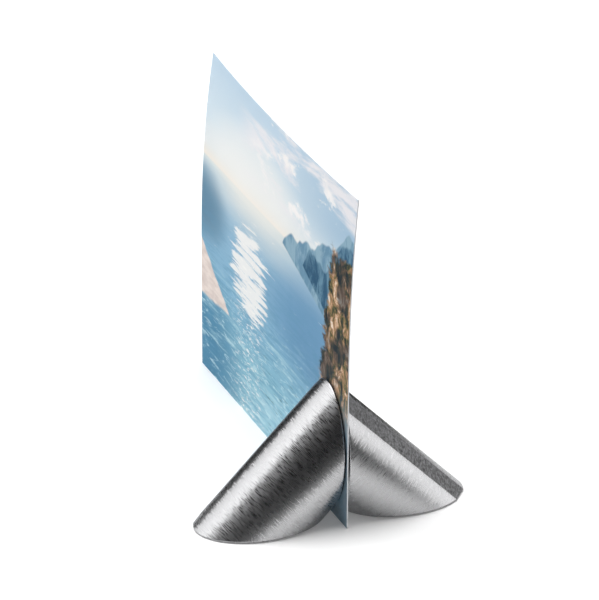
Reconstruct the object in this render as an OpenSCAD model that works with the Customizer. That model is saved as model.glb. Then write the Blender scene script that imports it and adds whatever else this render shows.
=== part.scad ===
// Desk card holder: two wedges cut from round steel bar, drawn together by magnets, with a card between them.
// The card stands along Y, one wedge lies on each side of it along X, and Z is up from the table top.
// The viewer stands at -Y. The origin is on the table, under the middle of the whole model.

/* [Wedges] */
// Diameter of the round bar that both wedges are cut from
bar_d = 30; // [25:0.5:60]
// Angle between the bar and the table
bar_slope = 45; // [38:1:52]
// Height of the upright cut's lowest point above the steel's underside
heel_h = 1.9; // [0.5:0.1:6]
// Width of the flat land that runs along one side of each wedge
land_w = 6.5; // [2:0.5:12]
// Turn of the land about the bar, measured from the bar's uppermost line
land_turn = 31; // [0:1:60]

/* [Magnets] */
// Diameter of each disc magnet
magnet_d = 8; // [5:0.5:9]
// Thickness of each disc magnet
magnet_t = 4; // [2:0.5:5]
// Width of the slanted edge of each disc magnet
magnet_edge = 0.4; // [0.2:0.1:0.8]
// Steel between a magnet and the rim of its face, measured upwards or downwards
magnet_margin = 7; // [6:0.2:8]

/* [Pads] */
// Thickness of the soft pad on each upright cut
grip_pad_t = 0.6; // [0.3:0.1:1.5]
// Thickness of the pad under each wedge
foot_pad_t = 0.4; // [0.3:0.1:1.5]
// Distance from the edge of a pad to the rim of its face
pad_inset = 0.9; // [0.5:0.1:3]

/* [Card] */
// Width of the card
card_w = 128; // [60:1:200]
// Height of the card
card_h = 111; // [70:1:180]
// Thickness of the card
card_t = 0.4; // [0.2:0.05:1]
// How far the card's near edge stands out past the wedges
card_overhang = 0; // [0:0.5:20]
// How far the top of the card leans over
card_lean = 1.6; // [0:0.1:5]
// How much further the far top corner of the card curls over
card_curl = 2.8; // [0:0.1:8]

/* [Hidden] */
$fn = 96;

// Gap between the card and each grip pad, and between a magnet and the wall of its bore
card_clear = 0.05;
magnet_clear = 0.05;
// How far a cutting solid reaches past what it cuts
overrun = 1;
// Sides of the oval outline of a pad
pad_sides = 72;
// Steps of the card's bent part across its width and up its height
card_cells_across = 12;
card_cells_up = 10;
// Where along the card's width it leans least, from its near edge
card_lean_share = 0.39;
// How fast the bend of the card grows with height
card_bend_power = 2.2;

// A wedge in its own frame: its upright cut lies in the plane X = 0, its underside in the plane Z = 0,
// and the bar runs down from the cut towards +X
bar_r = bar_d / 2;
face_half_h = bar_r / cos(bar_slope);
base_half_l = bar_r / sin(bar_slope);
face_mid_z = heel_h + face_half_h;
base_mid_x = heel_h / tan(bar_slope) + base_half_l;
wedge_h = face_mid_z + face_half_h;
wedge_l = base_mid_x + base_half_l;
land_offset = sqrt(bar_r * bar_r - land_w * land_w / 4);
magnet_rise = face_half_h - magnet_margin - magnet_d / 2;

// Places of the wedges and the card on the table
face_x = card_t / 2 + card_clear + grip_pad_t;
card_near_y = -card_w / 2;
card_far_y = card_w / 2;
body_y = card_near_y + card_overhang + bar_r;
card_free_z = foot_pad_t + wedge_h;
card_lean_y = card_near_y + card_lean_share * card_w;

// Points of an oval, counter-clockwise
function oval(half_u, half_v) = [
    for (i = [0 : pad_sides - 1])
        [half_u * cos(360 * i / pad_sides), half_v * sin(360 * i / pad_sides)]
];

// Share of the bend that the card has at height z: none between the wedges, all at its top edge
function bend_share(z) = pow(max(0, z - card_free_z) / (card_h - card_free_z), card_bend_power);

// Sideways place of the card's middle surface
function card_x(y, z) =
    bend_share(z) * (card_lean + card_curl * pow((y - card_lean_y) / (card_far_y - card_lean_y), 2));

// Heights of the rows of points on the card, and one side of the card as rows of points
card_rows = [
    0,
    for (k = [0 : card_cells_up]) card_free_z + (card_h - card_free_z) * k / card_cells_up
];
card_columns = [for (j = [0 : card_cells_across]) card_near_y + card_w * j / card_cells_across];
function card_side(offset_x) = [for (z = card_rows) for (y = card_columns) [card_x(y, z) + offset_x, y, z]];

// Puts a wedge's own frame on the table, facing the card from +X or, turned half a turn, from -X
module on_right() {
    translate([0, body_y, foot_pad_t]) translate([face_x, 0, 0]) children();
}

module on_left() {
    translate([0, body_y, foot_pad_t]) rotate([0, 0, 180]) translate([face_x, 0, 0]) children();
}

// Round bar along the wedge, long enough to reach past both cuts, with its flat land
module slanted_bar() {
    length = 2 * (wedge_h + wedge_l);
    translate([bar_r * sin(bar_slope), 0, heel_h + bar_r * cos(bar_slope)])
        rotate([0, 90 + bar_slope, 0])
            difference() {
                cylinder(d = bar_d, h = length, center = true);
                rotate([0, 0, 180 + land_turn])
                    translate([land_offset, -bar_r, -length])
                        cube([bar_r, bar_d, 2 * length]);
            }
}

module magnet_bore(face_z) {
    translate([-overrun, 0, face_z])
        rotate([0, 90, 0])
            cylinder(d = magnet_d + 2 * magnet_clear, h = magnet_t + overrun);
}

// Solid steel wedge with two blind bores in its upright cut
module wedge() {
    color([0.74, 0.74, 0.75])
        difference() {
            intersection() {
                slanted_bar();
                translate([0, -bar_r - overrun, 0])
                    cube([wedge_l + overrun, bar_d + 2 * overrun, wedge_h + overrun]);
            }
            magnet_bore(face_mid_z + magnet_rise);
            magnet_bore(face_mid_z - magnet_rise);
        }
}

// Disc magnet with slanted edges, seated in a bore and level with the cut
module magnet(face_z) {
    color([0.8, 0.8, 0.82])
        translate([0, 0, face_z])
            rotate([0, 90, 0])
                rotate_extrude()
                    polygon([
                        [0, 0],
                        [magnet_d / 2 - magnet_edge, 0],
                        [magnet_d / 2, magnet_edge],
                        [magnet_d / 2, magnet_t - magnet_edge],
                        [magnet_d / 2 - magnet_edge, magnet_t],
                        [0, magnet_t]
                    ]);
}

// Thin oval pad on the upright cut
module grip_pad() {
    color([0.1, 0.1, 0.11])
        translate([0, 0, face_mid_z])
            rotate([90, 0, -90])
                linear_extrude(height = grip_pad_t)
                    polygon(oval(bar_r - pad_inset, face_half_h - pad_inset));
}

// Thin oval pad on the underside
module foot_pad() {
    color([0.12, 0.12, 0.12])
        translate([base_mid_x, 0, -foot_pad_t])
            linear_extrude(height = foot_pad_t)
                polygon(oval(base_half_l - pad_inset, bar_r - pad_inset));
}

// Sheet that is flat between the wedges and gently bent above them
module card() {
    columns = card_cells_across + 1;
    rows = card_cells_up + 2;
    count = rows * columns;
    points = concat(card_side(card_t / 2), card_side(-card_t / 2));
    cells = [for (k = [0 : rows - 2]) for (j = [0 : columns - 2]) k * columns + j];
    front = [for (c = cells) each [[c, c + columns, c + columns + 1], [c, c + columns + 1, c + 1]]];
    back = [for (f = front) [count + f[2], count + f[1], count + f[0]]];
    bottom = [for (j = [0 : columns - 2]) j];
    top = [for (j = bottom) (rows - 1) * columns + j];
    near = [for (k = [0 : rows - 2]) k * columns];
    far = [for (k = near) k + columns - 1];
    rims = concat(
        [for (c = bottom) each [[c, c + 1, count + c + 1], [c, count + c + 1, count + c]]],
        [for (c = top) each [[c, count + c + 1, c + 1], [c, count + c, count + c + 1]]],
        [for (c = near) each [[c, count + c, count + c + columns], [c, count + c + columns, c + columns]]],
        [for (c = far) each [[c, count + c + columns, count + c], [c, c + columns, count + c + columns]]]
    );
    color([0.55, 0.72, 0.8]) polyhedron(points = points, faces = concat(front, back, rims));
}

module left_body() { on_left() wedge(); }
module right_body() { on_right() wedge(); }
module left_upper_magnet() { on_left() magnet(face_mid_z + magnet_rise); }
module left_lower_magnet() { on_left() magnet(face_mid_z - magnet_rise); }
module right_upper_magnet() { on_right() magnet(face_mid_z + magnet_rise); }
module right_lower_magnet() { on_right() magnet(face_mid_z - magnet_rise); }
module left_grip_pad() { on_left() grip_pad(); }
module right_grip_pad() { on_right() grip_pad(); }
module left_foot_pad() { on_left() foot_pad(); }
module right_foot_pad() { on_right() foot_pad(); }

left_body();
right_body();
left_upper_magnet();
left_lower_magnet();
right_upper_magnet();
right_lower_magnet();
left_grip_pad();
right_grip_pad();
left_foot_pad();
right_foot_pad();
card();
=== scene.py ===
"""Looks of a desk card holder: two magnetic steel wedges with a picture card standing between them.

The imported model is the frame. Each operator below makes one group of pieces around it,
and main runs them all.
"""

import math

import bmesh
import bpy
from mathutils import Euler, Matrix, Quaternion, Vector


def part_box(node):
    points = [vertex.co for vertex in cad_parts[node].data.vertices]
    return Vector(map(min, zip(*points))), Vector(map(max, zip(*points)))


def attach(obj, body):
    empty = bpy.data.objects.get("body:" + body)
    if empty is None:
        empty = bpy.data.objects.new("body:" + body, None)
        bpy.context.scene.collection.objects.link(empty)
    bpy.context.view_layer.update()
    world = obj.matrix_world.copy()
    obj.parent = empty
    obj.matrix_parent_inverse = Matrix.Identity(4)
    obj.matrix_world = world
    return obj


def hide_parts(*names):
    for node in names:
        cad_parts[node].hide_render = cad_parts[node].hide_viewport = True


bl_info = {
    "name": "Magnetic card holder",
    "version": (1, 0, 0),
    "blender": (4, 5, 0),
    "location": "View3D > Sidebar > Card holder",
    "description": "Models a card holder of two steel wedges, its pads, its magnets and its card",
    "category": "Add Mesh",
}

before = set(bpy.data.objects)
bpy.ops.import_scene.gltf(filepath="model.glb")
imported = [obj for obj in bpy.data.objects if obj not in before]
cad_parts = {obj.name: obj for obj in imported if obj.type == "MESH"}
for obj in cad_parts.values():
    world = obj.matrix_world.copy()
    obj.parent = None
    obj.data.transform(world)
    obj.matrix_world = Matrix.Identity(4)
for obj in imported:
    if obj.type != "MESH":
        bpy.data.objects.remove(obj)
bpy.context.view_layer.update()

MM = 0.001
LEFT = -1
RIGHT = 1
SIDE_NAMES = {LEFT: "left", RIGHT: "right"}

# Soft light panels: name, azimuth and elevation in degrees, width and height in metres.
# StageSettings has the brightness of each under the same name.
PANELS = (
    ("roof", 180, 77, (1.2, 1.2)),
    ("left_wall", 234, 34, (1.28, 1.3)),
    ("left_low", 262, 9, (1.3, 0.36)),
    ("back_strip", 112, 14, (0.9, 0.5)),
    ("right_strip", 65, 11, (1.25, 0.42)),
)
# Distance from the wedges to each light panel
PANEL_DISTANCE = 1.3
# Height of the mirrored sheet, which keeps it clear of the floor
SHEET_HEIGHT = 0.01 * MM

# A point this near to a cut counts as on it; Blender's own 0.1 mm is too much beside the land's edges
CUT_CLOSENESS = 0.001 * MM

# Sides of the round shapes, steps of their rounded edges, and cells of the card
BAR_SIDES = 192
BORE_SIDES = 64
PAD_SIDES = 144
RIM_STEPS = 10
PAD_EDGE_STEPS = 3
CARD_CELLS_ALONG = 88
CARD_CELLS_UP = 64

# Most of a noise lies between these levels
NOISE_LOW = 0.3
NOISE_HIGH = 0.7
# The brush streaks take their whole strength from the noise between these levels
STREAK_LOW = 0.35
STREAK_HIGH = 0.65

# Numbers of the Mix node's colour sockets, whose names its other sockets share
MIX_BELOW = 6
MIX_ABOVE = 7
MIX_RESULT = 2

# Places that the frame gives
BODY_LOW, BODY_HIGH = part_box("right_body")
CARD_LOW, CARD_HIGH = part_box("card")
MAGNET_LOW, MAGNET_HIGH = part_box("right_upper_magnet")
BODY_Y = (MAGNET_LOW.y + MAGNET_HIGH.y) / 2
CARD_W = CARD_HIGH.y - CARD_LOW.y
CARD_H = CARD_HIGH.z - CARD_LOW.z


def colour_property(name, description, default):
    """A colour that a user may change."""
    return bpy.props.FloatVectorProperty(
        name=name, description=description, subtype="COLOR", size=3, min=0, max=1, default=default
    )


def length_property(name, description, default):
    """A length that a user may change, in metres."""
    return bpy.props.FloatProperty(
        name=name, description=description, unit="LENGTH", min=0, precision=5, default=default
    )


def angle_property(name, description, degrees):
    """An angle that a user may change."""
    return bpy.props.FloatProperty(
        name=name, description=description, subtype="ANGLE", default=math.radians(degrees)
    )


def share_property(name, description, default):
    """A number from 0 to 1 that a user may change."""
    return bpy.props.FloatProperty(
        name=name, description=description, subtype="FACTOR", min=0, max=1, default=default
    )


def number_property(name, description, default):
    """A plain number that a user may change."""
    return bpy.props.FloatProperty(name=name, description=description, default=default)


class WedgeSettings(bpy.types.PropertyGroup):
    """Sizes and finish of the two steel wedges"""

    slope: angle_property("Bar slope", "Angle between the bar and the table", 45)
    heel: length_property(
        "Heel height", "Height of the upright cut's lowest point above the underside", 1.9 * MM
    )
    land_width: length_property("Land width", "Width of the flat land along the bar", 6.5 * MM)
    land_turn: angle_property("Land turn", "Turn of the land from the bar's uppermost line", 31)
    face_rim: length_property("Face rim", "Size of the rounding round the upright cut", 0.55 * MM)
    base_rim: length_property("Base rim", "Size of the rounding round the underside", 0.5 * MM)
    bore_room: length_property("Bore room", "Room round a magnet in its bore", 0.05 * MM)
    steel: colour_property("Steel", "Colour of the brushed steel", (0.62, 0.62, 0.63))
    roughness: share_property("Roughness", "Middle roughness of the brushed steel", 0.3)
    roughness_swing: share_property("Roughness swing", "How far the roughness changes between streaks", 0.05)
    stretch: share_property("Stretch", "How far highlights stretch along the bar", 0.65)
    streak_width: length_property("Streak width", "Width of a brush streak", 0.2 * MM)
    streak_length: length_property("Streak length", "Length of a brush streak round the bar", 2.8 * MM)
    comb: angle_property("Comb", "Largest tip of the surface in a brush streak", 3.6)
    land_steel: colour_property("Land steel", "Colour of the dull land", (0.19, 0.19, 0.195))
    land_metal: share_property("Land metal", "How metallic the dull land looks", 0.75)
    fade: angle_property(
        "Fade", "Turn of the bar over which the dull finish fades out past the land's upper edge", 3
    )
    land_grain: length_property("Land grain", "Size of the grain on the land", 0.75 * MM)


class MagnetSettings(bpy.types.PropertyGroup):
    """Finish of the disc magnets"""

    nickel: colour_property("Nickel", "Colour of the plating", (0.66, 0.64, 0.6))
    roughness: share_property("Roughness", "Middle roughness of the plating", 0.22)


class PadSettings(bpy.types.PropertyGroup):
    """Shape and finish of the soft pads"""

    edge: length_property("Edge", "Width of the rounding round a pad", 0.12 * MM)
    grip: colour_property("Grip pad", "Colour of the pads that hold the card", (0.018, 0.018, 0.02))
    foot: colour_property("Foot pad", "Colour of the pads under the wedges", (0.2, 0.2, 0.2))
    grain: length_property("Grain", "Size of the grain of the soft sheet", 0.25 * MM)


class CardSettings(bpy.types.PropertyGroup):
    """Bend and finish of the card"""

    thickness: length_property("Thickness", "Thickness of the card", 0.4 * MM)
    lean: length_property("Lean", "How far the top of the card leans over", 1.6 * MM)
    curl: length_property("Curl", "How much further the far top corner curls over", 2.8 * MM)
    lean_share: share_property(
        "Least lean", "Where along its width the card leans least, from its near edge", 0.39
    )
    bend_power: number_property("Bend power", "How fast the bend grows with height", 2.2)
    gloss: share_property("Gloss", "Strength of the clear layer on the print", 0.06)
    paper: colour_property("Paper", "Colour of the paper's edges and back", (0.86, 0.88, 0.9))


class StageSettings(bpy.types.PropertyGroup):
    """Camera, lights and floor"""

    aim_x: length_property("Aim X", "Sideways place of the point that the camera looks at", 0)
    aim_y: number_property("Aim Y", "Depth of the point that the camera looks at, in metres", -0.02307)
    aim_z: length_property("Aim Z", "Height of the point that the camera looks at", 0.06068)
    distance: length_property("Distance", "Distance of the camera from that point", 1.4178)
    azimuth: angle_property("Azimuth", "Turn of the camera round the object", -21.785)
    elevation: angle_property("Elevation", "Height of the camera above the horizon", 24.89)
    roll: angle_property("Roll", "Turn of the camera about its own line of sight", 0.268)
    lens: number_property("Lens", "Focal length in millimetres", 271.6)
    left_wall: number_property("Left wall", "Brightness of the high light on the left", 1.22)
    left_low: number_property("Left low", "Brightness of the low light on the left, which lights the card", 1)
    roof: number_property("Roof", "Brightness of the light overhead, a little behind", 5)
    back_strip: number_property(
        "Back strip", "Brightness of the low light behind on the right, which lights the land", 0.6
    )
    right_strip: number_property("Right strip", "Brightness of the low light on the right", 1.75)
    floor_size: length_property("Floor size", "Width of the floor", 8)
    floor_colour: colour_property("Floor colour", "Colour of the floor", (0.9, 0.9, 0.9))
    floor_glow: number_property("Floor glow", "Light that the floor gives off by itself", 0.13)
    sheet_width: length_property("Sheet width", "Width of the white sheet that the steel mirrors", 0.5)
    sheet_front: number_property("Sheet front", "Depth of the sheet's front edge, in metres", -0.112)
    sheet_back: number_property("Sheet back", "Depth of the sheet's back edge, in metres", 0.03)
    sheet_colour: colour_property("Sheet colour", "Colour of the sheet", (0.75, 0.75, 0.75))
    sheet_glow: number_property("Sheet glow", "Light that the sheet gives off by itself", 0.05)
    surround: colour_property(
        "Surround", "Colour of the dim room that the steel mirrors", (0.016, 0.016, 0.017)
    )
    backdrop: colour_property("Backdrop", "Colour behind the floor", (0.95, 0.95, 0.95))


class Graph:
    """Adds shader nodes to a material, one call for each."""

    def __init__(self, material):
        self.tree = material.node_tree
        self.shader = self.tree.nodes["Principled BSDF"]

    def node(self, kind, inputs=(), **settings):
        """A node with these settings; inputs are pairs of a socket's name or number and what goes into it."""
        made = self.tree.nodes.new(kind)
        for name, value in settings.items():
            setattr(made, name, value)
        for name, value in inputs:
            self.put(made.inputs[name], value)
        return made

    def put(self, socket, value):
        """Sets a socket, or links it to another one."""
        if isinstance(value, bpy.types.NodeSocket):
            self.tree.links.new(value, socket)
        else:
            socket.default_value = value

    def feed(self, name, value):
        """Sets one of the shader's inputs, or links it to a socket."""
        self.put(self.shader.inputs[name], value)

    def place(self):
        """Where a point is on its piece, in metres."""
        return self.node("ShaderNodeTexCoord").outputs["Object"]

    def turned(self, vector, rotation):
        """A vector turned by three angles."""
        return self.node("ShaderNodeMapping", [("Vector", vector), ("Rotation", rotation)]).outputs[0]

    def stretched(self, vector, sizes):
        """A vector counted in grains of these three sizes."""
        scale = [1 / size for size in sizes]
        return self.node("ShaderNodeMapping", [("Vector", vector), ("Scale", scale)]).outputs[0]

    def noise(self, vector, scale=1.0, detail=2.0, roughness=0.5, distortion=0.0):
        """Soft noise from 0 to 1."""
        inputs = [
            ("Vector", vector),
            ("Scale", scale),
            ("Detail", detail),
            ("Roughness", roughness),
            ("Distortion", distortion),
        ]
        return self.node("ShaderNodeTexNoise", inputs).outputs["Fac"]

    def math(self, operation, a, b=0.0):
        """A sum, product or other step on two numbers."""
        return self.node("ShaderNodeMath", [(0, a), (1, b)], operation=operation).outputs[0]

    def vector_math(self, operation, *inputs):
        """A sum, product or other step on vectors; inputs are as for a node."""
        return self.node("ShaderNodeVectorMath", inputs, operation=operation).outputs[0]

    def ranged(self, value, low, high, to_low=0.0, to_high=1.0, smooth=True):
        """A number moved from one range to another and held inside it."""
        inputs = [("Value", value), (1, low), (2, high), (3, to_low), (4, to_high)]
        kind = "SMOOTHSTEP" if smooth else "LINEAR"
        return self.node("ShaderNodeMapRange", inputs, interpolation_type=kind).outputs[0]

    def spread(self, noise, to_low=0.0, to_high=1.0):
        """The common levels of a noise moved to a range."""
        return self.ranged(noise, NOISE_LOW, NOISE_HIGH, to_low, to_high)

    def blend(self, share, below, above):
        """One colour laid over another by a share."""
        inputs = [(0, share), (MIX_BELOW, below), (MIX_ABOVE, above)]
        return self.node("ShaderNodeMix", inputs, data_type="RGBA").outputs[MIX_RESULT]

    def toned(self, share, colour, dark, light):
        """A colour times a darker or lighter factor, by a share."""
        colour = Vector(colour)
        return self.blend(share, opaque(colour * dark), opaque(colour * light))

    def ramp(self, value, stops):
        """A colour picked along a row of (place, colour) stops."""
        made = self.node("ShaderNodeValToRGB", [("Fac", value)])
        elements = made.color_ramp.elements
        elements.remove(elements[1])
        elements[0].position, elements[0].color = stops[0]
        for position, colour in stops[1:]:
            elements.new(position).color = colour
        return made.outputs["Color"]

    def mixed(self, share, below, above):
        """A number between two others by a share."""
        inputs = [(0, share), (2, below), (3, above)]
        return self.node("ShaderNodeMix", inputs, data_type="FLOAT").outputs[0]

    def bump(self, height, strength, distance, normal=None):
        """Fine relief on the surface."""
        inputs = [("Height", height), ("Strength", strength), ("Distance", distance)]
        if normal:
            inputs.append(("Normal", normal))
        self.feed("Normal", self.node("ShaderNodeBump", inputs).outputs[0])


def new_material(name):
    """A material and the graph that paints it."""
    material = bpy.data.materials.new(name)
    material.use_nodes = True
    return material, Graph(material)


def opaque(colour):
    """A colour with its alpha."""
    return (*colour, 1.0)


def ink(code):
    """The linear colour of a six-digit colour code."""
    levels = [int(code[i : i + 2], 16) / 255 for i in (0, 2, 4)]
    linear = [level / 12.92 if level <= 0.04045 else ((level + 0.055) / 1.055) ** 2.4 for level in levels]
    return opaque(linear)


def bar_turn(side, settings):
    """Turn about Y that lays a wedge's bar along X."""
    return (0, -side * settings.slope, 0)


def bar_radius(settings):
    """Radius of the round bar, from the height of the wedge."""
    return (BODY_HIGH.z - BODY_LOW.z - settings.heel) * math.cos(settings.slope) / 2


def bar_centre(side, settings):
    """A point on the bar's middle line, one radius from the upright cut's lowest point."""
    top = Vector((side * math.sin(settings.slope), 0, math.cos(settings.slope)))
    lowest = Vector((side * BODY_LOW.x, BODY_Y, BODY_LOW.z + settings.heel))
    return lowest + top * bar_radius(settings)


def bar_axis(graph, side, settings):
    """The direction of the bar, as a socket."""
    axis = (side * math.cos(settings.slope), 0, -math.sin(settings.slope))
    return graph.node("ShaderNodeCombineXYZ", list(enumerate(axis))).outputs[0]


def land_half_angle(settings):
    """Half of the angle that the land takes up on the bar."""
    return math.asin(settings.land_width / 2 / bar_radius(settings))


def land_share(graph, along, side, settings):
    """Where the dull finish lies: all over the land, with a soft upper edge and a crisp lower one."""
    centre = bar_centre(side, settings)
    centre.rotate(Euler(bar_turn(side, settings)))
    parts = graph.node("ShaderNodeSeparateXYZ", [(0, along)]).outputs
    outwards = graph.math("MULTIPLY", graph.math("SUBTRACT", parts["Y"], centre.y), -side)
    upwards = graph.math("SUBTRACT", parts["Z"], centre.z)
    turn = graph.math("ARCTAN2", outwards, upwards)
    half = land_half_angle(settings)
    upper, lower = settings.land_turn - half, settings.land_turn + half
    past_upper = graph.ranged(turn, upper - settings.fade, upper)
    return graph.math("MULTIPLY", past_upper, graph.math("LESS_THAN", turn, lower))


def combed_normal(graph, comb, side, settings):
    """The surface's direction, tipped round the bar by a different amount in each brush streak."""
    normal = graph.node("ShaderNodeNewGeometry").outputs["Normal"]
    round_bar = graph.vector_math("CROSS_PRODUCT", (0, bar_axis(graph, side, settings)), (1, normal))
    amount = graph.ranged(comb, STREAK_LOW, STREAK_HIGH, -settings.comb, settings.comb, smooth=False)
    tip = graph.vector_math("SCALE", (0, round_bar), ("Scale", amount))
    return graph.vector_math("NORMALIZE", (0, graph.vector_math("ADD", (0, normal), (1, tip))))


def brushed_steel(side, settings):
    """Satin steel brushed round the bar, with a dark, dull, grainy finish on the land."""
    material, graph = new_material(f"brushed_steel_{SIDE_NAMES[side]}")
    along = graph.turned(graph.place(), bar_turn(side, settings))
    width, length = settings.streak_width, settings.streak_length
    comb = graph.noise(graph.stretched(along, (width, length, length)), detail=1.5)
    bright = graph.toned(graph.spread(comb), settings.steel, dark=0.93, light=1.06)

    grain = settings.land_grain
    specks = graph.noise(graph.stretched(along, (grain, grain * 1.5, grain * 1.5)), detail=4, roughness=0.65)
    clouds = graph.noise(graph.stretched(along, (grain * 12, grain * 6, grain * 6)), detail=2)
    speckled = graph.toned(graph.spread(specks), settings.land_steel, dark=0.35, light=1.85)
    cloud = opaque(Vector(settings.land_steel) * 1.25)
    dull = graph.blend(graph.ranged(clouds, 0.3, 0.75, 0, 0.35), speckled, cloud)

    share = land_share(graph, along, side, settings)
    graph.feed("Base Color", graph.blend(share, bright, dull))
    smoothest = settings.roughness - settings.roughness_swing
    roughest = settings.roughness + settings.roughness_swing
    satin = graph.ranged(comb, STREAK_LOW, STREAK_HIGH, smoothest, roughest, smooth=False)
    matt = graph.ranged(specks, 0.2, 0.8, 0.42, 0.62)
    graph.feed("Roughness", graph.mixed(share, satin, matt))
    graph.feed("Metallic", graph.mixed(share, 1.0, settings.land_metal))
    graph.feed("Anisotropic", settings.stretch)
    graph.feed("Tangent", bar_axis(graph, side, settings))
    relief = graph.mixed(share, graph.math("MULTIPLY", comb, 0.25), specks)
    combed = combed_normal(graph, comb, side, settings)
    graph.bump(relief, strength=0.35, distance=0.03 * MM, normal=combed)
    return material


def bright_nickel(settings):
    """Plated metal with faint handling marks."""
    material, graph = new_material("bright_nickel")
    marks = graph.noise(graph.stretched(graph.place(), (0.8 * MM,) * 3), detail=5, roughness=0.6)
    plating = graph.toned(graph.ranged(marks, 0.35, 0.7), settings.nickel, dark=0.92, light=1.05)
    graph.feed("Base Color", plating)
    graph.feed("Roughness", graph.spread(marks, settings.roughness * 0.8, settings.roughness * 1.4))
    graph.feed("Metallic", 1)
    return material


def soft_sheet(name, colour, grain):
    """Matt rubbery sheet with a fine grain and faint lighter patches."""
    material, graph = new_material(name)
    grains = graph.noise(graph.stretched(graph.place(), (grain,) * 3), detail=3, roughness=0.6)
    patches = graph.noise(graph.stretched(graph.place(), (grain * 30,) * 3), detail=2)
    grained = graph.toned(graph.spread(grains), colour, dark=0.7, light=1.5)
    worn = opaque(Vector(colour) * 1.6)
    graph.feed("Base Color", graph.blend(graph.ranged(patches, 0.35, 0.75, 0, 0.3), grained, worn))
    graph.feed("Roughness", graph.spread(grains, 0.72, 0.9))
    graph.bump(grains, strength=0.4, distance=0.04 * MM)
    return material


def white_paper(settings):
    """Smooth white paper with a faint fibre, for the card's back and edges."""
    material, graph = new_material("white_paper")
    fibre = graph.noise(graph.stretched(graph.place(), (0.5 * MM,) * 3), detail=5, roughness=0.65)
    graph.feed("Base Color", graph.toned(graph.spread(fibre), settings.paper, dark=0.97, light=1))
    graph.feed("Roughness", graph.spread(fibre, 0.42, 0.55))
    graph.bump(fibre, strength=0.06, distance=0.02 * MM)
    return material


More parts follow.
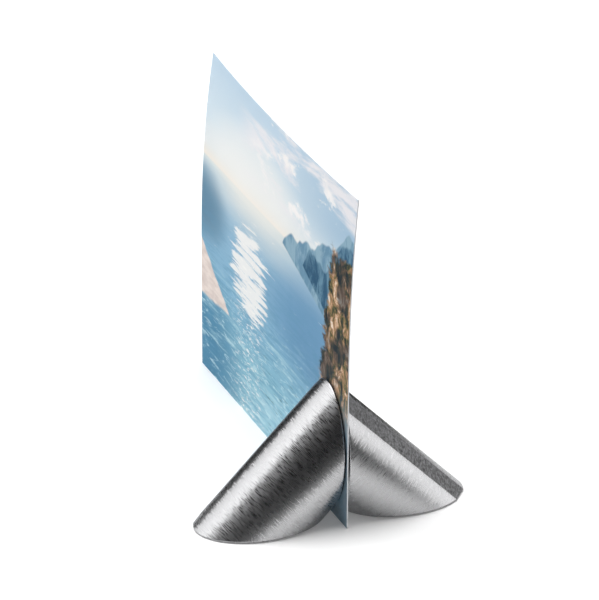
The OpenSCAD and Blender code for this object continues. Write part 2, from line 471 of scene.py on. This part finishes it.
class Picture:
    """The printed picture, painted layer by layer: a bay with a sand bank, hills and a slope of heather.

    Places and sizes are shares of the picture, counted from its left edge and from its foot.
    """

    horizon = 0.69
    # Half the width over which a crisp edge fades
    crisp = 0.004

    def __init__(self, graph):
        self.graph = graph
        parts = graph.node("ShaderNodeSeparateXYZ", [(0, graph.place())]).outputs
        self.across = graph.ranged(parts["Y"], CARD_HIGH.y, CARD_LOW.y, smooth=False)
        self.up = graph.ranged(parts["Z"], CARD_LOW.z, CARD_HIGH.z, smooth=False)
        sheet = graph.node("ShaderNodeCombineXYZ", [(0, self.across), (1, self.up)])
        self.sheet = sheet.outputs[0]
        self.height = graph.math("SUBTRACT", self.up, self.horizon)

    def grain(self, wide, high, detail=4, roughness=0.55, distortion=0.0):
        """Noise whose grains are so wide and high, as shares of the picture."""
        sizes = (wide, high, 1)
        return self.graph.noise(self.graph.stretched(self.sheet, sizes), 1, detail, roughness, distortion)

    def both(self, a, b):
        """Where two shares hold together."""
        return self.graph.math("MULTIPLY", a, b)

    def band(self, value, low, high, soft):
        """A share that is full between low and high and fades at both ends."""
        graph = self.graph
        rising = graph.ranged(value, low - soft, low + soft)
        falling = graph.ranged(value, high - soft, high + soft, 1, 0)
        return self.both(rising, falling)

    def patch(self, middle, reach):
        """A share that is full at the middle of an oval and fades towards its rim."""
        graph = self.graph
        across = graph.math("DIVIDE", graph.math("SUBTRACT", self.across, middle[0]), reach[0])
        up = graph.math("DIVIDE", graph.math("SUBTRACT", self.up, middle[1]), reach[1])
        away = graph.math("ADD", graph.math("MULTIPLY", across, across), graph.math("MULTIPLY", up, up))
        return graph.ranged(away, 0, 1, 1, 0)

    def wavy(self, value, noise, amount):
        """A number pushed up and down by noise."""
        graph = self.graph
        return graph.math("ADD", value, graph.ranged(noise, 0.2, 0.8, -amount, amount, smooth=False))

    def laid(self, below, share, colour, strength=1.0):
        """A colour laid over what is below, where a share holds."""
        graph = self.graph
        if strength < 1:
            share = graph.math("MULTIPLY", share, strength)
        return graph.blend(share, below, colour)

    def sky(self):
        """A pale sky, bluer in the right corner, with banks of cloud and small puffs."""
        graph = self.graph
        stops = [(0.0, ink("f4ecdf")), (0.14, ink("e4ebec")), (0.4, ink("c6deeb")), (1.0, ink("a4c9e3"))]
        view = graph.ramp(graph.ranged(self.height, 0, 0.31, smooth=False), stops)
        corner = self.both(graph.ranged(self.across, 0.45, 1.0), graph.ranged(self.height, 0.02, 0.18))
        view = self.laid(view, corner, ink("6fabd0"), 0.95)
        view = self.laid(view, self.patch((0.36, 0.76), (0.4, 0.17)), ink("fbf8f1"), 0.65)
        banks = graph.ranged(self.grain(0.5, 0.11, 7, 0.62, 0.5), 0.46, 0.6)
        bank_area = self.both(graph.ranged(self.across, 0.2, 0.42), graph.ranged(self.height, 0.05, 0.12))
        banks = self.both(banks, bank_area)
        view = self.laid(view, banks, ink("f1edf0"), 0.9)
        puffs = graph.ranged(self.grain(0.2, 0.1, 9, 0.64, 0.3), 0.53, 0.62)
        puff_area = self.both(graph.ranged(self.across, 0.25, 0.5), graph.ranged(self.height, 0.04, 0.1))
        puffs = self.both(puffs, puff_area)
        return self.laid(view, puffs, ink("fcf9f7"), 0.95)

    def water(self):
        """Water that pales towards the horizon and the foot, with deeps, ripples, shoals and shine."""
        graph = self.graph
        stops = [
            (0.0, ink("dde6e6")),
            (0.06, ink("b4cedc")),
            (0.25, ink("86b7d5")),
            (0.5, ink("7ab3d2")),
            (0.75, ink("88c1d5")),
            (1.0, ink("9acddd")),
        ]
        swell = self.wavy(self.height, self.grain(0.6, 0.05, 5), 0.03)
        view = graph.ramp(graph.ranged(swell, 0, -self.horizon, smooth=False), stops)
        view = self.laid(view, self.patch((0.78, 0.46), (0.4, 0.2)), ink("4f91bd"), 0.9)
        view = self.laid(view, self.patch((0.0, 0.54), (0.22, 0.15)), ink("477f9f"), 0.95)
        view = self.laid(view, self.patch((0.0, 0.1), (0.34, 0.3)), ink("2d80a8"), 0.92)
        ripples = graph.ranged(self.grain(0.11, 0.012, 6, 0.66, 0.6), 0.44, 0.62)
        view = self.laid(view, self.both(ripples, graph.ranged(self.height, -0.05, -0.3)), ink("4690b5"), 0.5)
        shoals = graph.ranged(self.grain(0.3, 0.03, 6, 0.6, 1.2), 0.52, 0.66)
        view = self.laid(view, self.both(shoals, graph.ranged(self.up, 0.42, 0.3)), ink("b2dbe6"), 0.6)
        facets = graph.ranged(self.grain(0.06, 0.014, 6, 0.62, 0.9), 0.54, 0.63)
        view = self.laid(view, self.both(facets, graph.ranged(self.up, 0.45, 0.2)), ink("c6e6ee"), 0.65)
        furrows = graph.ranged(self.grain(0.1, 0.009, 5, 0.6, 0.5), 0.6, 0.67)
        furrow_area = self.both(self.band(self.across, 0.42, 0.8, 0.1), graph.ranged(self.up, 0.34, 0.2))
        furrows = self.both(furrows, furrow_area)
        view = self.laid(view, furrows, ink("2f6d80"), 0.8)
        shine = self.wavy(self.patch((0.34, 0.45), (0.17, 0.22)), self.grain(0.2, 0.02, 7, 0.64, 0.4), 1.0)
        view = self.laid(view, graph.ranged(shine, 0.5, 0.8), ink("f6f6f4"), 0.95)
        haze = self.both(self.band(self.across, 0.15, 0.55, 0.15), graph.ranged(self.height, -0.14, 0))
        view = self.laid(view, haze, ink("f2f1ea"), 0.75)
        glints = graph.ranged(self.grain(0.035, 0.01, 6, 0.7, 0.5), 0.54, 0.62)
        glints = self.both(glints, self.band(self.across, 0.25, 0.42, 0.06))
        return self.laid(view, self.both(glints, graph.ranged(self.up, 0.66, 0.5)), ink("fbfbf8"), 0.9)

    def hills(self, view):
        """Two ridges that rise to the right, the far one paler."""
        graph = self.graph
        ridges = (
            (0.02, 0.5, 0.17, 0.15, ink("6d97b2"), ink("94b6c8")),
            (-0.01, 0.64, 0.13, 0.19, ink("35607f"), ink("6b95ad")),
        )
        for lift, start, wide, rise, shade, light in ridges:
            crest = self.wavy(lift, self.grain(wide, 9, 3, 0.45), 0.09)
            slope = graph.ranged(self.across, start, 1.0, -0.05, rise, smooth=False)
            mass = graph.math("SUBTRACT", graph.math("ADD", crest, slope), self.height)
            shore = graph.ranged(self.across, start, 1.0, 0, 0.17, smooth=False)
            foot = graph.math("ADD", self.height, shore)
            cover = self.both(graph.ranged(mass, 0, 0.01), graph.ranged(foot, -self.crisp, self.crisp))
            cover = self.both(cover, graph.ranged(self.across, start, start + 0.03))
            rock = graph.blend(graph.ranged(self.grain(0.045, 0.12, 8, 0.66, 0.5), 0.42, 0.58), shade, light)
            view = graph.blend(cover, view, rock)
        return view

    def sand_bank(self, view):
        """A tongue of sand that runs in from the left and ends in a point."""
        graph = self.graph
        middle = graph.ranged(self.across, 0, 0.3, 0.33, 0.22, smooth=False)
        away = graph.math("ABSOLUTE", graph.math("SUBTRACT", self.up, middle))
        away = self.wavy(away, self.grain(0.14, 0.06, 5), 0.012)
        half = graph.ranged(self.across, 0.0, 0.26, 0.095, -0.02, smooth=False)
        cover = graph.ranged(graph.math("SUBTRACT", half, away), 0, 0.01)
        sand = graph.blend(graph.ranged(self.grain(0.07, 0.03, 6), 0.35, 0.65), ink("f1e4dc"), ink("dccdc6"))
        return graph.blend(cover, view, sand)

    def heather(self, view):
        """A slope of bushes at the right edge, which fades into mist at its foot."""
        graph = self.graph
        edge = self.wavy(self.across, self.grain(0.08, 0.05, 7, 0.65), 0.05)
        lean = graph.ranged(self.up, 0.25, 0.9, 0.04, -0.05, smooth=False)
        reach = graph.math("ADD", edge, lean)
        top = self.wavy(self.height, self.grain(0.06, 0.08, 6), 0.05)
        cover = self.both(graph.ranged(reach, 0.83, 0.85), graph.ranged(top, 0.1, 0.12, 1, 0))
        stops = [
            (0.34, ink("1c2329")),
            (0.43, ink("3f453f")),
            (0.47, ink("74734a")),
            (0.51, ink("a17c5c")),
            (0.56, ink("cfa680")),
            (0.62, ink("f2e4d2")),
        ]
        bushes = graph.ramp(self.grain(0.035, 0.06, 9, 0.72, 0.6), stops)
        hollows = graph.ranged(self.grain(0.1, 0.14, 4, 0.6, 0.5), 0.47, 0.58)
        bushes = self.laid(bushes, hollows, ink("2c3842"), 0.75)
        foot = graph.blend(graph.ranged(self.up, 0.42, 0.26, 0, 0.9), bushes, ink("8fabbd"))
        return graph.blend(cover, view, foot)

    def painted(self):
        """All layers, from the sky down to the slope."""
        graph = self.graph
        below_horizon = graph.ranged(self.height, -self.crisp, self.crisp, 1, 0)
        view = graph.blend(below_horizon, self.sky(), self.water())
        water_haze = graph.ranged(self.up, 0.2, 0.5, 0.05, 0.08)
        sky_haze = graph.ranged(self.height, 0, 0.08, 0, 0.2)
        view = graph.blend(graph.math("ADD", water_haze, sky_haze), view, ink("ffffff"))
        return self.heather(self.sand_bank(self.hills(view)))


def glossy_print(settings):
    """Photographic paper with a clear glossy layer over the picture."""
    material, graph = new_material("glossy_print")
    graph.feed("Base Color", Picture(graph).painted())
    sheen = graph.noise(graph.stretched(graph.place(), (9 * MM,) * 3), detail=3)
    graph.feed("Roughness", graph.spread(sheen, 0.4, 0.5))
    graph.feed("Specular IOR Level", 0.15)
    graph.feed("Coat Weight", settings.gloss)
    graph.feed("Coat Roughness", 0.12)
    graph.bump(sheen, strength=0.05, distance=0.1 * MM)
    return material


def deselect():
    """Nothing is selected after this."""
    bpy.ops.object.select_all(action="DESELECT")


def take(name):
    """Names the primitive that was just added, and puts its place into its mesh."""
    piece = bpy.context.object
    piece.name = name
    piece.data.name = name
    bpy.ops.object.transform_apply(location=True, rotation=True, scale=True)
    return piece


def select_edges(piece, wanted):
    """In edit mode, selects only the edges that a test wants."""
    bpy.ops.mesh.select_mode(type="EDGE")
    bpy.ops.mesh.select_all(action="DESELECT")
    shape = bmesh.from_edit_mesh(piece.data)
    for edge in shape.edges:
        edge.select_set(wanted(edge))
    bmesh.update_edit_mesh(piece.data)


def cut_off(point, normal):
    """In edit mode, cuts away all that lies beyond a plane and closes the cut."""
    bpy.ops.mesh.select_all(action="SELECT")
    bpy.ops.mesh.bisect(
        plane_co=point, plane_no=normal, use_fill=True, clear_outer=True, threshold=CUT_CLOSENESS
    )


def on_face_along(edge, direction, closeness=0.9999):
    """Whether an edge borders a face that looks along a direction."""
    return any(abs(face.normal.dot(direction)) > closeness for face in edge.link_faces)


def paint_faces(piece, slot_of):
    """Gives each face the material slot that a rule picks for it."""
    for polygon in piece.data.polygons:
        polygon.material_index = slot_of(polygon)


def smooth(piece, degrees):
    """Smooth shading that keeps edges sharper than an angle."""
    deselect()
    piece.select_set(True)
    bpy.context.view_layer.objects.active = piece
    bpy.ops.object.shade_smooth_by_angle(angle=math.radians(degrees), keep_sharp_edges=True)


def join_frame(piece, body, slot, *nodes):
    """Makes a piece ride on its body and stand for its nodes."""
    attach(piece, body)
    if nodes:
        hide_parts(*nodes)


def bore_cutter(side, level, settings):
    """The solid that cuts the bore for a magnet."""
    low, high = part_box(f"{SIDE_NAMES[side]}_{level}_magnet")
    radius = (high.z - low.z) / 2 + settings.bore_room
    # Half of the cutter goes into the steel, and the other half stands out of it
    depth = (high.x - low.x) * 2
    mouth = low.x if side == RIGHT else high.x
    centre = (mouth, (low.y + high.y) / 2, (low.z + high.z) / 2)
    deselect()
    bpy.ops.mesh.primitive_cylinder_add(
        vertices=BORE_SIDES, radius=radius, depth=depth, location=centre, rotation=(0, math.pi / 2, 0)
    )
    return take(f"bore_{level}")


def drill(piece, cutter):
    """Cuts a bore and deletes its cutter."""
    deselect()
    piece.select_set(True)
    bpy.context.view_layer.objects.active = piece
    cut = piece.modifiers.new("bore", "BOOLEAN")
    cut.operation = "DIFFERENCE"
    cut.solver = "EXACT"
    cut.object = cutter
    bpy.ops.object.modifier_apply(modifier=cut.name)
    mesh = cutter.data
    bpy.data.objects.remove(cutter)
    bpy.data.meshes.remove(mesh)


def steel_wedge(side, settings):
    """One wedge: round bar, cut twice and given its land, with rounded rims and blind bores."""
    face_x = side * BODY_LOW.x
    radius, centre = bar_radius(settings), bar_centre(side, settings)
    top = Vector((side * math.sin(settings.slope), 0, math.cos(settings.slope)))
    sideways = Vector((0, -side, 0))
    land = top * math.cos(settings.land_turn) + sideways * math.sin(settings.land_turn)
    land_offset = radius * math.cos(land_half_angle(settings))
    # Long enough to reach well past both cuts
    length = 4 * (BODY_HIGH.z - BODY_LOW.z)
    deselect()
    bpy.ops.mesh.primitive_cylinder_add(
        vertices=BAR_SIDES,
        radius=radius,
        depth=length,
        location=centre,
        rotation=(0, side * (math.pi / 2 + settings.slope), 0),
    )
    piece = take(f"{SIDE_NAMES[side]}_steel_wedge")
    bpy.ops.object.mode_set(mode="EDIT")
    cut_off((face_x, BODY_Y, 0), (-side, 0, 0))
    cut_off((0, BODY_Y, BODY_LOW.z), (0, 0, -1))
    cut_off(centre + land * land_offset, land)
    rims = ((Vector((1, 0, 0)), settings.face_rim), (Vector((0, 0, 1)), settings.base_rim))
    for facing, size in rims:
        select_edges(piece, lambda edge: on_face_along(edge, facing))
        bpy.ops.mesh.bevel(offset=size, segments=RIM_STEPS, profile=0.5, affect="EDGES")
    select_edges(piece, lambda edge: on_face_along(edge, land))
    bpy.ops.mesh.mark_sharp()
    bpy.ops.object.mode_set(mode="OBJECT")
    for level in ("upper", "lower"):
        drill(piece, bore_cutter(side, level, settings))
    piece.data.materials.clear()
    piece.data.materials.append(brushed_steel(side, settings))
    smooth(piece, 40)
    settle = piece.modifiers.new("normals", "WEIGHTED_NORMAL")
    settle.keep_sharp = True
    bpy.ops.object.modifier_apply(modifier=settle.name)
    return piece


def oval_pad(node, thin_axis, settings):
    """A thin oval sheet with a rounded edge, in the place of a pad's node."""
    low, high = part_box(node)
    size, centre = high - low, (low + high) / 2
    rotation = (0, math.pi / 2, 0) if thin_axis == 0 else (0, 0, 0)
    deselect()
    bpy.ops.mesh.primitive_cylinder_add(vertices=PAD_SIDES, radius=0.5, depth=1, rotation=rotation)
    piece = take(f"{node}_sheet")
    piece.scale = size
    piece.location = centre
    bpy.ops.object.transform_apply(location=True, rotation=True, scale=True)
    thin = Vector((0, 0, 0))
    thin[thin_axis] = 1
    bpy.ops.object.mode_set(mode="EDIT")
    select_edges(piece, lambda edge: on_face_along(edge, thin))
    bpy.ops.mesh.bevel(offset=settings.edge, segments=PAD_EDGE_STEPS, profile=0.5, affect="EDGES")
    bpy.ops.object.mode_set(mode="OBJECT")
    smooth(piece, 50)
    return piece


def card_bend(y, z, settings):
    """How far the card's middle is pushed sideways at a place on it."""
    free_z = BODY_HIGH.z
    share = (max(0.0, z - free_z) / (CARD_HIGH.z - free_z)) ** settings.bend_power
    least_y = CARD_LOW.y + settings.lean_share * CARD_W
    curl = ((y - least_y) / (CARD_HIGH.y - least_y)) ** 2
    return share * (settings.lean + settings.curl * curl)


def picture_card(settings):
    """The bent card, with its picture on the left, paper on the right and white edges."""
    centre = ((CARD_LOW.y + CARD_HIGH.y) / 2, (CARD_LOW.z + CARD_HIGH.z) / 2)
    deselect()
    bpy.ops.mesh.primitive_grid_add(
        x_subdivisions=CARD_CELLS_ALONG,
        y_subdivisions=CARD_CELLS_UP,
        size=1,
        rotation=(math.pi / 2, 0, math.pi / 2),
    )
    piece = take("picture_card")
    piece.scale = (1, CARD_W, CARD_H)
    piece.location = (0, *centre)
    bpy.ops.object.transform_apply(location=True, rotation=True, scale=True)
    for vertex in piece.data.vertices:
        vertex.co.x += card_bend(vertex.co.y, vertex.co.z, settings)
    for material in (glossy_print(settings), white_paper(settings)):
        piece.data.materials.append(material)
    body = piece.modifiers.new("body", "SOLIDIFY")
    body.thickness = settings.thickness
    body.offset = 0
    bpy.ops.object.modifier_apply(modifier=body.name)
    for vertex in piece.data.vertices:
        vertex.co = [min(max(each, low), high) for each, low, high in zip(vertex.co, CARD_LOW, CARD_HIGH)]
    paint_faces(piece, lambda polygon: int(polygon.normal.x > -0.5))
    smooth(piece, 40)
    return piece


def from_angles(azimuth, elevation):
    """The direction at an azimuth, counted from the front to the right, and an elevation."""
    level = math.cos(elevation)
    return Vector((math.sin(azimuth) * level, -math.cos(azimuth) * level, math.sin(elevation)))


def light_panel(name, azimuth, elevation, size, brightness):
    """A soft rectangular light that looks at the middle of the wedges."""
    target = Vector((0, BODY_Y, BODY_HIGH.z / 2))
    direction = from_angles(math.radians(azimuth), math.radians(elevation))
    deselect()
    bpy.ops.object.light_add(type="AREA", location=target + direction * PANEL_DISTANCE)
    light = bpy.context.object
    light.name = name
    light.rotation_euler = direction.to_track_quat("Z", "Y").to_euler()
    light.data.shape = "RECTANGLE"
    light.data.size, light.data.size_y = size
    light.data.energy = math.pi * size[0] * size[1] * brightness


def studio_lights(settings):
    """The roof, the two lights on the left, and the two low ones on the right."""
    for name, azimuth, elevation, size in PANELS:
        light_panel(name, azimuth, elevation, size, getattr(settings, name))


def room(settings):
    """A pale backdrop, and the dim room that shows in the steel."""
    world = bpy.data.worlds.new("room")
    bpy.context.scene.world = world
    world.use_nodes = True
    tree = world.node_tree
    background = tree.nodes["Background"]
    seen = tree.nodes.new("ShaderNodeMix")
    seen.data_type = "RGBA"
    seen.inputs[MIX_BELOW].default_value = opaque(settings.surround)
    seen.inputs[MIX_ABOVE].default_value = opaque(settings.backdrop)
    tree.links.new(tree.nodes.new("ShaderNodeLightPath").outputs["Is Camera Ray"], seen.inputs["Factor"])
    tree.links.new(seen.outputs[MIX_RESULT], background.inputs["Color"])


def pale_finish(name, colour, glow=0.0):
    """A plain pale finish, that may glow a little."""
    material, graph = new_material(name)
    graph.feed("Base Color", opaque(colour))
    graph.feed("Roughness", 0.9)
    graph.feed("Specular IOR Level", 0.1)
    graph.feed("Emission Color", opaque((1, 1, 1)))
    graph.feed("Emission Strength", glow)
    return material


def floor(settings):
    """A plain pale floor, and the white sheet on it that the steel mirrors in the floor's place."""
    deselect()
    bpy.ops.mesh.primitive_plane_add(size=settings.floor_size)
    plane = take("floor")
    plane.visible_glossy = False
    plane.data.materials.append(pale_finish("pale_floor", settings.floor_colour, settings.floor_glow))
    deselect()
    depth = settings.sheet_back - settings.sheet_front
    middle = (settings.sheet_back + settings.sheet_front) / 2
    bpy.ops.mesh.primitive_plane_add(size=1, location=(0, middle, SHEET_HEIGHT))
    sheet = bpy.context.object
    sheet.scale = (settings.sheet_width, depth, 1)
    sheet = take("mirrored_sheet")
    for unseen in ("visible_camera", "visible_diffuse", "visible_transmission", "visible_shadow"):
        setattr(sheet, unseen, False)
    sheet.data.materials.append(pale_finish("white_sheet", settings.sheet_colour, settings.sheet_glow))


def camera(settings):
    """The camera, at the photograph's angle and distance."""
    aim = Vector((settings.aim_x, settings.aim_y, settings.aim_z))
    back = from_angles(settings.azimuth, settings.elevation)
    turn = back.to_track_quat("Z", "Y") @ Quaternion((0, 0, 1), settings.roll)
    deselect()
    bpy.ops.object.camera_add(location=aim + back * settings.distance, rotation=turn.to_euler())
    made = bpy.context.object
    made.name = "camera"
    made.data.sensor_fit = "AUTO"
    made.data.sensor_width = 36
    made.data.lens = settings.lens
    made.data.clip_end = 50
    bpy.context.scene.camera = made


class CARDHOLDER_OT_stage(bpy.types.Operator):
    """Makes the camera, the lights, the room and the floor"""

    bl_idname = "cardholder.stage"
    bl_label = "Make the stage"

    def execute(self, context):
        settings = context.scene.cardholder_stage
        camera(settings)
        studio_lights(settings)
        room(settings)
        floor(settings)
        context.scene.view_settings.view_transform = "Standard"
        return {"FINISHED"}


class CARDHOLDER_OT_wedges(bpy.types.Operator):
    """Makes both steel wedges"""

    bl_idname = "cardholder.wedges"
    bl_label = "Make the wedges"

    def execute(self, context):
        for side, name in SIDE_NAMES.items():
            piece = steel_wedge(side, context.scene.cardholder_wedge)
            join_frame(piece, f"{name}_wedge", "wedge_steel", f"{name}_body")
        return {"FINISHED"}


class CARDHOLDER_OT_magnets(bpy.types.Operator):
    """Gives the disc magnets their plating"""

    bl_idname = "cardholder.magnets"
    bl_label = "Plate the magnets"

    def execute(self, context):
        nickel = bright_nickel(context.scene.cardholder_magnet)
        for name in SIDE_NAMES.values():
            for level in ("upper", "lower"):
                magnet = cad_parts[f"{name}_{level}_magnet"]
                for slot in magnet.material_slots:
                    slot.material = nickel
        return {"FINISHED"}


class CARDHOLDER_OT_pads(bpy.types.Operator):
    """Makes the grip pads and the foot pads"""

    bl_idname = "cardholder.pads"
    bl_label = "Make the pads"

    def execute(self, context):
        settings = context.scene.cardholder_pad
        kinds = (("grip", 0, settings.grip), ("foot", 2, settings.foot))
        for kind, thin_axis, colour in kinds:
            sheet = soft_sheet(f"{kind}_rubber", colour, settings.grain)
            for name in SIDE_NAMES.values():
                node = f"{name}_{kind}_pad"
                piece = oval_pad(node, thin_axis, settings)
                piece.data.materials.append(sheet)
                join_frame(piece, f"{name}_wedge", f"{kind}_rubber", node)
        return {"FINISHED"}


class CARDHOLDER_OT_card(bpy.types.Operator):
    """Makes the picture card"""

    bl_idname = "cardholder.card"
    bl_label = "Make the card"

    def execute(self, context):
        piece = picture_card(context.scene.cardholder_card)
        join_frame(piece, "card", "card_print", "card")
        return {"FINISHED"}


OPERATORS = (
    CARDHOLDER_OT_stage,
    CARDHOLDER_OT_wedges,
    CARDHOLDER_OT_magnets,
    CARDHOLDER_OT_pads,
    CARDHOLDER_OT_card,
)


class CARDHOLDER_PT_panel(bpy.types.Panel):
    """Lists the pieces of the card holder"""

    bl_idname = "CARDHOLDER_PT_panel"
    bl_label = "Card holder"
    bl_space_type = "VIEW_3D"
    bl_region_type = "UI"
    bl_category = "Card holder"

    def draw(self, context):
        for operator in OPERATORS:
            self.layout.operator(operator.bl_idname)


SETTINGS = {
    "cardholder_wedge": WedgeSettings,
    "cardholder_magnet": MagnetSettings,
    "cardholder_pad": PadSettings,
    "cardholder_card": CardSettings,
    "cardholder_stage": StageSettings,
}
CLASSES = (*SETTINGS.values(), *OPERATORS, CARDHOLDER_PT_panel)


def register():
    """Registers the classes and hangs the settings on the scene."""
    for each in CLASSES:
        bpy.utils.register_class(each)
    for name, group in SETTINGS.items():
        setattr(bpy.types.Scene, name, bpy.props.PointerProperty(type=group))


def unregister():
    """Takes away what register added."""
    for name in SETTINGS:
        delattr(bpy.types.Scene, name)
    for each in reversed(CLASSES):
        bpy.utils.unregister_class(each)


def main():
    """Makes every piece."""
    register()
    bpy.ops.cardholder.stage()
    bpy.ops.cardholder.wedges()
    bpy.ops.cardholder.magnets()
    bpy.ops.cardholder.pads()
    bpy.ops.cardholder.card()


if __name__ == "__main__":
    main()
